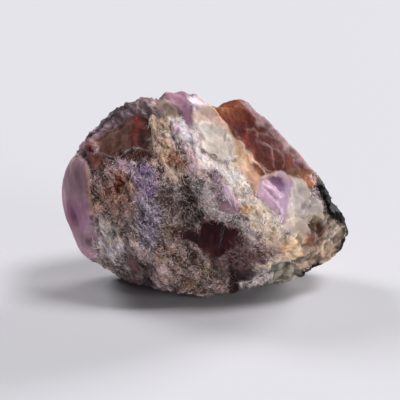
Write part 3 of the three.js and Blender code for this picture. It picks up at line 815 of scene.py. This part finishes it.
def finish(name, size, swing, gloss, ridge, stretch=(1, 1, 1), turned=False, **steady):
    """A mineral's finish: its own tint, times 1 - swing to 1 + swing by a fine pattern; a finer one moves
    its roughness between the two values of "gloss" and raises ridges "ridge" mm high."""
    made = bpy.data.materials.new(name)
    made.use_nodes = True
    tree = made.node_tree
    shader = tree.nodes["Principled BSDF"]
    spots = pattern(tree, size, stretch, turned)
    fine = pattern(tree, size * 0.4, stretch, turned)
    tint = tree.nodes.new("ShaderNodeAttribute")
    tint.attribute_name = "tint"
    lit = tree.nodes.new("ShaderNodeVectorMath")
    lit.operation = "SCALE"
    tree.links.new(tint.outputs["Color"], lit.inputs[0])
    tree.links.new(between(tree, spots, 1 - swing, 1 + swing), lit.inputs["Scale"])
    tree.links.new(lit.outputs["Vector"], shader.inputs["Base Color"])
    tree.links.new(between(tree, fine, *gloss), shader.inputs["Roughness"])
    bump = settle(tree.nodes.new("ShaderNodeBump"), Strength=1, Distance=ridge * MM)
    tree.links.new(fine, bump.inputs["Height"])
    tree.links.new(bump.outputs["Normal"], shader.inputs["Normal"])
    settle(shader, **steady)
    return made


def stone_finishes():
    """One finish for each kind of mineral, in the order of KINDS."""
    return [
        finish("mica_rock", size=0.35, swing=0.35, gloss=(0.5, 0.8), ridge=0.1, stretch=(4, 2, 1),
               turned=True, Specular_IOR_Level=0.15),
        finish("garnet", size=0.4, swing=0.3, gloss=(0.5, 0.7), ridge=0.04, stretch=(1, 1, 2.5),
               Specular_IOR_Level=0.12),
        finish("sapphire", size=0.5, swing=0.14, gloss=(0.6, 0.8), ridge=0.04, stretch=(1, 2, 3),
               Specular_IOR_Level=0.08, Subsurface_Weight=0.4, Subsurface_Scale=1 * MM),
        finish("feldspar", size=0.5, swing=0.1, gloss=(0.4, 0.6), ridge=0.04,
               Specular_IOR_Level=0.35, Subsurface_Weight=0.25, Subsurface_Scale=0.8 * MM),
        finish("biotite", size=0.4, swing=0.4, gloss=(0.4, 0.7), ridge=0.1, stretch=(3, 2, 1),
               turned=True, Specular_IOR_Level=0.05),
        finish("grit", size=0.4, swing=0.25, gloss=(0.75, 0.95), ridge=0.08, Specular_IOR_Level=0.12),
    ]


# ---------------------------------------------------------------------------------------------------
# Pieces
# ---------------------------------------------------------------------------------------------------
def make_piece(name, points, faces, tints, finishes, unrolled, finish_of_face=None, smooth=True):
    """A mesh object of the given points in metres, faces all of one size, a tint at each point, and a map
    of where each face's corners lie when the piece is unrolled on a sheet."""
    mesh = bpy.data.meshes.new(name)
    mesh.vertices.add(len(points))
    mesh.vertices.foreach_set("co", points.astype(np.float32).ravel())
    mesh.loops.add(faces.size)
    mesh.loops.foreach_set("vertex_index", faces.astype(np.int32).ravel())
    mesh.polygons.add(len(faces))
    mesh.polygons.foreach_set("loop_start", np.arange(0, faces.size, faces.shape[1], dtype=np.int32))
    mesh.update(calc_edges=True)
    for made in finishes:
        mesh.materials.append(made)
    if finish_of_face is not None:
        mesh.polygons.foreach_set("material_index", finish_of_face.astype(np.int32))
    mesh.polygons.foreach_set("use_smooth", np.full(len(faces), smooth))
    sheet = mesh.uv_layers.new(name="OFBake")
    sheet.data.foreach_set("uv", unrolled.astype(np.float32).ravel())
    tint = mesh.attributes.new("tint", "FLOAT_COLOR", "POINT")
    tint.data.foreach_set("color", np.c_[tints, np.ones(len(tints))].astype(np.float32).ravel())
    mesh.validate()
    piece = bpy.data.objects.new(name, mesh)
    bpy.context.collection.objects.link(piece)
    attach(piece, "root")
    return piece


STONE_STEPS = 127  # steps along each side of the grid that the stone is grown from
CROWDED_FORWARD = 0.2


def make_stone(finishes):
    """The stone itself: one closed skin of quads grown from a cube; each face takes the finish of the
    mineral that fills most of it. Returns its points, quads, tints and shares of minerals."""
    along, quads, unrolled = cube_sphere(STONE_STEPS, CROWDED_FORWARD)
    points, shaded, share, tint = surface(along)
    kind = share[quads].mean(1).argmax(1)
    stone = make_piece("stone", to_frame(points), quads, shaded, finishes, unrolled, kind)
    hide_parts(NODE)
    return points, quads, tint, share


def strands(paths, radii, sides=3):
    """Closed strands with pointed ends, as points, triangles and unrolled corners: round each inner point
    of a path lies a ring of the given radius, and the first and last points are the tips. "paths" is
    strands x points x 3, and "radii" holds a radius for each inner point. Unrolled, each strand lies in a
    cell of its own, as the share of the way along it by the share of the way round it."""
    count, length, _ = paths.shape
    run = of_length_one(paths[:, 2:] - paths[:, :-2])
    first = of_length_one(np.cross(run, of_length_one(paths[:, 1:-1])))
    second = np.cross(run, first)
    angle = np.arange(sides) * 2 * np.pi / sides
    ring = first[:, :, None] * np.cos(angle)[:, None] + second[:, :, None] * np.sin(angle)[:, None]
    rings = paths[:, 1:-1, None] + ring * radii[:, :, None, None]
    points = np.concatenate([paths[:, :1], rings.reshape(count, -1, 3), paths[:, -1:]], 1)

    # The corners of one strand's triangles: how many points along the path, and how many round the ring.
    corners = []
    end = length - 1
    for side in range(sides):
        corners.append([(0, side + 0.5), (1, side + 1), (1, side)])
        for at in range(1, end - 1):
            corners.append([(at, side), (at, side + 1), (at + 1, side + 1)])
            corners.append([(at, side), (at + 1, side + 1), (at + 1, side)])
        corners.append([(end, side + 0.5), (end - 1, side), (end - 1, side + 1)])
    at, turn = np.array(corners).transpose(2, 0, 1)
    index = np.where(at == end, 1 + (end - 1) * sides, 1 + (at - 1) * sides + turn % sides)
    index = np.where(at == 0, 0, index).astype(int)
    faces = np.arange(count)[:, None, None] * points.shape[1] + index
    columns = int(np.ceil(np.sqrt(count)))
    cell = np.stack([np.arange(count) % columns, np.arange(count) // columns], 1)
    strip = 0.2 + 0.6 * np.stack([at / end, turn / sides], 2)
    unrolled = (cell[:, None, None] + strip) / columns
    return points, faces.reshape(-1, 3), unrolled


def make_strands(name, paths, radii, tints, strand_finish, smooth=True):
    """A piece of strands along paths in mm about the heart, each strand in one tint."""
    points, faces, unrolled = strands(paths, radii)
    tints = np.repeat(tints, points.shape[1], 0)
    points = to_frame(points.reshape(-1, 3))
    make_piece(name, points, faces, tints, [strand_finish], unrolled, smooth=smooth)


PALE = colour("e2d6d4")  # what needles, threads and hairs fade to

# How thickly felt lies on each kind of mineral, in the order of KINDS.
FELTED = np.array([1.0, 0.0, 0.0, 0.0, 0.05, 0.05])

# The felt comes in four pieces: the way each lies from the middle, to the left or right and to the front
# or back. More needles lie on the front, where the stone is seen from.
QUARTERS = {"front_left": (-1, -1), "front_right": (1, -1), "back_left": (-1, 1), "back_right": (1, 1)}
FRONT_NEEDLES = 16500
BACK_NEEDLES = 11000
FELT_SEED = 5


def make_felt(name, stone, sides, count, seed, felt_finish):
    """Felt of fine mica needles strewn over the rock: each is a short bent strand that dips into the
    surface at both ends, mostly near the grain's direction, in the tint of the rock under it made
    darker or paler, some of them almost white."""
    points, quads, tint, share = stone
    random = np.random.default_rng(seed)

    # Where they grow: by area, on mica rock, clear of the floor, thickest in bundles and thin where pale.
    corners = points[quads]
    crossing = np.cross(corners[:, 2] - corners[:, 0], corners[:, 3] - corners[:, 1])
    area = np.linalg.norm(crossing, axis=1)
    middles = corners.mean(1)
    felted = rise_between(0, 1, share[quads].mean(1) @ FELTED)
    standing = middles[:, 2] > -HEART_HEIGHT + 0.5
    bundle = fractal(along_grain(middles, 2.6, 1.8), 0.8, seed=401, layers=3, keep=0.6)
    here = (middles[:, 0] * sides[0] > 0) & ((middles[:, 1] - 1) * sides[1] > 0)
    sparse = 1 - 0.4 * rise_between(0.3, 1.0, tint[quads].mean((1, 2)))
    weight = area * felted * standing * here * sparse * (0.25 + rise_between(-0.5, 0.6, bundle))
    picked = random.choice(len(quads), count, p=weight / weight.sum())
    spot = random.uniform(0, 1, (count, 2, 1))
    a, b, c, d = corners[picked].transpose(1, 0, 2)
    middle = (a * (1 - spot[:, 0]) + b * spot[:, 0]) * (1 - spot[:, 1])
    middle += (d * (1 - spot[:, 0]) + c * spot[:, 0]) * spot[:, 1]
    normal = crossing[picked] / area[picked, None]

    # How they lie: near the grain's direction but for some strays, arched over the skin and a little bent.
    length_way = of_length_one(GRAIN - (normal @ GRAIN)[:, None] * normal)
    side_way = np.cross(normal, length_way)
    tints = tint[quads[picked]].mean(1)
    level = tints.mean(1, keepdims=True)
    pale = rise_between(0.2, 0.8, level)
    deep = rise_between(0.1, 0.03, level)
    bright = rise_between(0.85, 1.1, level)
    strays = random.uniform(0, 1, (count, 1)) < 0.55 - 0.4 * pale
    astray = random.normal(0, 0.45, (count, 1)) * (1 - 0.3 * pale)
    astray = np.where(strays, random.uniform(-1.6, 1.6, (count, 1)), astray)
    length_way, side_way = (
        length_way * np.cos(astray) + side_way * np.sin(astray),
        side_way * np.cos(astray) - length_way * np.sin(astray),
    )
    length = np.clip(np.exp(random.normal(-0.6, 0.4, (count, 1, 1))), 0.2, 1.3) * (1 - 0.1 * pale[:, None])
    bend = random.normal(0, 0.07, (count, 1, 1)) * length
    tip = random.normal(0, 0.04, (count, 1, 1)) * length
    step = np.array([-0.5, -0.17, 0.17, 0.5])[:, None]
    arch = np.array([-0.09, 0.03, 0.03, -0.09])[:, None]
    paths = middle[:, None] + length_way[:, None] * length * step
    paths += side_way[:, None] * (bend * (step**2 * 4 - 0.5) + tip * step**3 * 8)
    paths += normal[:, None] * (arch + random.uniform(0, 0.07, (count, 1, 1)))
    calm = 1 - 0.6 * deep
    white = random.uniform(0, 1, (count, 1)) ** 3 * 0.75 * calm * (1 - 0.5 * pale)
    white *= 0.05 + 0.95 * rise_between(0.015, 0.1, level)
    radii = random.uniform(0.022, 0.05, (count, 1)) * (1 + 0.6 * white + 0.3 * pale) * np.array([1.0, 0.85])

    # Their tints: darker and paler by bundles, by tufts and one by one, a little warmer and cooler too.
    tuft = cloud(along_grain(middle, 1.6, 1.3), 0.35, seed=403)
    sparkle = (0.5 * bundle[picked] + 0.45 * tuft)[:, None] * (1 - 0.5 * pale)
    sparkle += random.normal(0, 0.65, (count, 1)) * (1 + 0.6 * pale - 1.0 * bright)
    glow = 0.3 + 0.2 * pale + 0.5 * bright + calm * sparkle
    warm = random.normal(0.01, 0.05, (count, 1)) * np.array([1.0, 0.0, -1.0])
    faded = (0.1 + 0.6 * rise_between(0.0, 1.4, glow)) * (0.5 + 0.5 * pale)
    tints = (tints + faded * (level * PALE / PALE.mean() - tints)) * np.exp(glow)
    tints = held((tints + white * (PALE * np.exp(0.3 * glow) - tints)) * np.exp(warm))
    make_strands(name, paths, radii, tints, felt_finish, smooth=False)


# Threads of the veins that cross the garnets, frame the crystals and splinter the rock below: how far they
# fade from the tint of what they cross to a pale one, how thick they are in mm, and the points on the
# front plane that they run through.
VEINS = [
    # left garnet
    (0.8, 0.02, [(-15.2, 5.8), (-14.2, 5.2), (-13, 5.1), (-12.2, 5.3), (-11.6, 5.9), (-10.6, 6.5),
     (-9.6, 6.5), (-8.4, 5.9)]),
    (0.8, 0.02, [(-14.8, 2.7), (-13.9, 3.6), (-13, 4.1), (-10.9, 4.4), (-10, 4.1), (-8.8, 4.7),
     (-7.3, 3.9)]),
    (0.6, 0.018, [(-8.7, 11.3), (-8, 10.2), (-7.7, 9), (-7.6, 7.4), (-7.3, 5.8), (-7, 4.8)]),
    (0.6, 0.04, [(-16.2, 7.2), (-15.6, 6.7), (-15.8, 5.9), (-16.4, 5.6)]),
    (0.12, 0.02, [(-14, 9), (-12.6, 9.8), (-11.2, 11), (-10.2, 11.4)]),
    # violet crystal and the brown rock round it
    (0.5, 0.03, [(-10.3, 3.3), (-9.4, 2.2), (-8.8, 1.2), (-8, 2.3), (-7.6, 3.2)]),
    (0.5, 0.03, [(-8.8, 1.2), (-8.9, 0), (-8.4, -1.2), (-8.8, -2.4)]),
    (0.4, 0.03, [(-14.6, 3.2), (-13.8, 2.6), (-13.6, 1.4), (-14.2, 0.4)]),
    (0.4, 0.03, [(-12.6, 2.7), (-11.8, 2), (-11.6, 0.8), (-12.2, -0.4)]),
    # rusty seam
    (0.8, 0.02, [(-7.2, 4.8), (-5.8, 4.1), (-4.7, 2.5), (-4, 1.3), (-3.6, 0.2)]),
    (0.35, 0.03, [(-10, 12.7), (-9.2, 11.9), (-8.4, 11.3)]),
    (0.35, 0.03, [(-8, 12.9), (-7.2, 11.7), (-6.4, 11)]),
    # right garnet
    (0.3, 0.02, [(8.1, 8), (8.3, 7.4), (9.2, 7), (10, 6.5), (10.1, 5)]),
    (0.3, 0.02, [(7.6, 4.2), (8.4, 3.8), (9.2, 3.2), (10.4, 2.9)]),
    # low garnet
    (0.16, 0.012, [(3.3, -4.9), (2.7, -6.2), (2.4, -7.6), (2, -8.8)]),
    (0.12, 0.012, [(2.7, -4.8), (2.5, -6), (2.4, -7.2)]),
    (0.12, 0.012, [(4.6, -5.8), (4.6, -7.4), (4.7, -9)]),
    (0.16, 0.012, [(1.9, -10), (2.6, -10), (3.6, -9.6)]),
    (0.5, 0.03, [(-10.4, -12.2), (-9.9, -12.7), (-9.4, -13)]),
    # small crystals
    (0.8, 0.03, [(3, 1.4), (3.6, 0.2), (4.2, -0.6), (4.4, -1.8), (5, -2.8)]),
    (0.7, 0.03, [(2.4, 0.6), (3, -0.6), (3.8, -1.4), (4.2, -2.6)]),
    # beside the feldspars
    (0.5, 0.03, [(-0.8, 6.6), (0.5, 5.7), (1.8, 4.8), (3.2, 4.3), (4.4, 4.6)]),
    # low white splinters
    (1, 0.13, [(5.8, -14.3), (7, -13.5), (8.2, -12.6), (9, -11.7)]),
    (1, 0.1, [(8, -13.8), (8.7, -12.9), (9.3, -11.9)]),
    (1, 0.09, [(7, -14.2), (7.6, -13.5), (8.2, -12.9)]),
    (1, 0.08, [(9.2, -13), (9.8, -12.2), (10.1, -11.5)]),
]
THREAD_POINTS = 18
THREADS_A_VEIN = 6
VEIN_SEED = 11
WAVES = 5  # sine waves that a thread sways by, from one half wave to five
FIRST_GUESS = 12  # mm in front of the heart
GUESSES = 14


def skin_at(right, up):
    """Points of the stone's skin that show at the given places of the front plane: from a first guess
    in front of the heart, each turn takes a point to the skin and moves it across by what it misses."""
    guess = right[:, None] * VIEW_RIGHT + up[:, None] * VIEW_UP + FIRST_GUESS * VIEW_BACK
    for _ in range(GUESSES):
        points = surface(of_length_one(guess))[0]
        shown_right, shown_up = on_front_plane(points)
        guess = points + (right - shown_right)[:, None] * VIEW_RIGHT
        guess += (up - shown_up)[:, None] * VIEW_UP
    return points


def make_veins(name, vein_finish):
    """The veins: each is a few threads that sway about one path, laid on the skin or just over it."""
    random = np.random.default_rng(VEIN_SEED)
    waves = np.sin(np.outer(np.arange(1, WAVES + 1) * np.pi, np.linspace(0, 1, THREAD_POINTS)))
    places = []
    for _, thick, path in VEINS:
        path = np.array(path)
        walked = np.r_[0, np.cumsum(np.linalg.norm(np.diff(path, axis=0), axis=1))]
        for _ in range(THREADS_A_VEIN):
            ends = np.sort(random.uniform(0, 1, 2) * 0.35 + np.array([0, 0.65])) * walked[-1]
            stops = np.linspace(*ends, THREAD_POINTS)
            sway = random.normal(0, 0.04 + thick, (2, WAVES)) @ waves
            places.append([np.interp(stops, walked, path[:, axis]) + sway[axis] for axis in range(2)])
    right, up = np.array(places).transpose(1, 0, 2)
    paths = skin_at(right.ravel(), up.ravel()).reshape(len(places), THREAD_POINTS, 3)
    pale, thick = np.repeat([vein[:2] for vein in VEINS], THREADS_A_VEIN, 0).T[:, :, None]
    paths = paths * (1 + 0.3 * thick[:, None] * random.uniform(0.2, 1, (len(places), 1, 1)))
    radii = thick * random.uniform(0.5, 1.2, (len(places), 1)) * np.ones(THREAD_POINTS - 2)
    under = surface(of_length_one(paths[:, THREAD_POINTS // 2]))[3]
    pale = np.clip(pale * random.uniform(0.5, 1.3, (len(places), 1)), 0, 1)
    tints = held(under + pale * (PALE * (1.2 + 0.6 * under.mean(1, keepdims=True)) - under))
    make_strands(name, paths, radii, tints, vein_finish)


HAIRS = 900
HAIR_POINTS = 12
HAIR_SEED = 21


def make_hairs(name, hair_finish):
    """Long bent hairs of mica that lie over the felt all round the stone: each is centred on a random
    place of the mica rock, runs near the grain's direction in a slow curve, and is laid on the skin."""
    random = np.random.default_rng(HAIR_SEED)
    points, _, share, tint = surface(
        of_length_one(random.normal(0, 1, (HAIRS * 3, 3)) * GRID_STRETCH + 0.3 * VIEW_BACK)
    )
    fit = np.flatnonzero((share[:, ROCK] > 0.6) & (points[:, 2] > 1 - HEART_HEIGHT))[:HAIRS]
    points, tint = points[fit], tint[fit]
    out = of_length_one(points)
    way = GRAIN + random.normal(0, 0.6, (len(fit), 3))
    way = of_length_one(way - (way * out).sum(1)[:, None] * out)
    side = np.cross(out, way)
    step = np.linspace(-0.5, 0.5, HAIR_POINTS)[:, None]
    length = random.uniform(1.2, 3.2, (len(fit), 1, 1))
    curve = random.normal(0, 0.25, (len(fit), 1, 1)) * step**2 * 4
    curve = curve + random.normal(0, 0.12, (len(fit), 1, 1)) * step**3 * 8
    paths = points[:, None] + length * (way[:, None] * step + side[:, None] * curve)
    paths = surface(of_length_one(paths.reshape(-1, 3)))[0].reshape(paths.shape)
    paths += out[:, None] * random.uniform(0.0, 0.08, (len(fit), 1, 1))
    radii = random.uniform(0.02, 0.04, (len(fit), 1)) * np.ones(HAIR_POINTS - 2)
    grey = PALE * (0.3 + tint.mean(1, keepdims=True))
    tints = held((tint + 0.6 * (grey - tint)) * np.exp(random.normal(0.2, 0.3, (len(fit), 1))))
    make_strands(name, paths, radii, tints, hair_finish)


# ---------------------------------------------------------------------------------------------------
# Studio
# ---------------------------------------------------------------------------------------------------
FLOOR_REACH = 3.0  # metres from the stone to each edge of the floor
FLOOR_GAP = 0.00002  # metres that the floor lies below the stone's base
SOFTNESS = 24  # how wide each light looks from the stone, in degrees


def make_floor():
    """A plain pale floor, wide enough to fill the view."""
    mesh = bpy.data.meshes.new("floor")
    ways = [(-1, -1), (1, -1), (1, 1), (-1, 1)]
    corners = [(x * FLOOR_REACH, y * FLOOR_REACH, -FLOOR_GAP) for x, y in ways]
    mesh.from_pydata(corners, [], [(0, 1, 2, 3)])
    floor = bpy.data.objects.new("floor", mesh)
    bpy.context.collection.objects.link(floor)
    paper = bpy.data.materials.new("studio_paper")
    paper.use_nodes = True
    shader = paper.node_tree.nodes["Principled BSDF"]
    settle(shader, Base_Color=(0.62, 0.6125, 0.65, 1), Roughness=0.9, Specular_IOR_Level=0.1)
    mesh.materials.append(paper)


def make_light(name, turn, rise, power):
    """A broad soft light, far off: "turn" degrees round from +X towards the back, "rise" degrees up."""
    lamp = bpy.data.lights.new(name, "SUN")
    lamp.angle = np.radians(SOFTNESS)
    lamp.energy = power
    light = bpy.data.objects.new(name, lamp)
    turn, rise = np.radians(turn), np.radians(rise)
    toward = mathutils.Vector((np.cos(turn) * np.cos(rise), np.sin(turn) * np.cos(rise), np.sin(rise)))
    light.rotation_euler = toward.to_track_quat("Z", "Y").to_euler()
    bpy.context.collection.objects.link(light)


def make_studio():
    """A high key light from the right, low ones from the front right and from behind on the right, one
    from behind on the left, and a dim pale room."""
    make_light("key", turn=-20, rise=60, power=1.95)
    make_light("front_right", turn=-50, rise=11, power=1.28)
    make_light("low_right", turn=50, rise=20, power=2.76)
    make_light("back_left", turn=140, rise=40, power=1.42)
    room = bpy.data.worlds.new("room")
    room.use_nodes = True
    settle(room.node_tree.nodes["Background"], Color=(0.77, 0.76, 0.8, 1), Strength=0.06)
    bpy.context.scene.world = room
    bpy.context.scene.view_settings.view_transform = "Standard"


# Where the viewer looks: this far to the left of the heart and below it, in mm.
AIM_LEFT = 0.594
AIM_LOW = 1.187
LENS = 160.7  # mm, over a sensor of 36 mm


def make_camera():
    """The viewer's eye: a long lens, level from side to side, that looks a little below the heart."""
    lens = bpy.data.cameras.new("camera")
    lens.lens = LENS
    lens.sensor_width = 36
    lens.clip_start = 0.01
    eye = bpy.data.objects.new("camera", lens)
    aim = HEART - AIM_LEFT * MM * VIEW_RIGHT - AIM_LOW * MM * VIEW_UP
    eye.location = aim + VIEW_REACH * MM * VIEW_BACK
    eye.rotation_euler = (np.radians(90 - VIEW_RISE), 0, 0)
    bpy.context.collection.objects.link(eye)
    bpy.context.scene.camera = eye


make_camera()
make_studio()
make_floor()
finishes = stone_finishes()
stone = make_stone(finishes)
make_veins("vein_threads", finish("vein", size=0.4, swing=0.15, gloss=(0.4, 0.6), ridge=0.01))
make_hairs("long_hairs", finish("mica_hair", size=0.4, swing=0.15, gloss=(0.4, 0.6), ridge=0.01))
felt_finish = finish("mica_felt", size=0.3, swing=0.2, gloss=(0.4, 0.65), ridge=0.01)
for seed, (quarter, sides) in enumerate(QUARTERS.items(), FELT_SEED):
    count = FRONT_NEEDLES if sides[1] < 0 else BACK_NEEDLES
    make_felt("felt_" + quarter, stone, sides, count, seed, felt_finish)
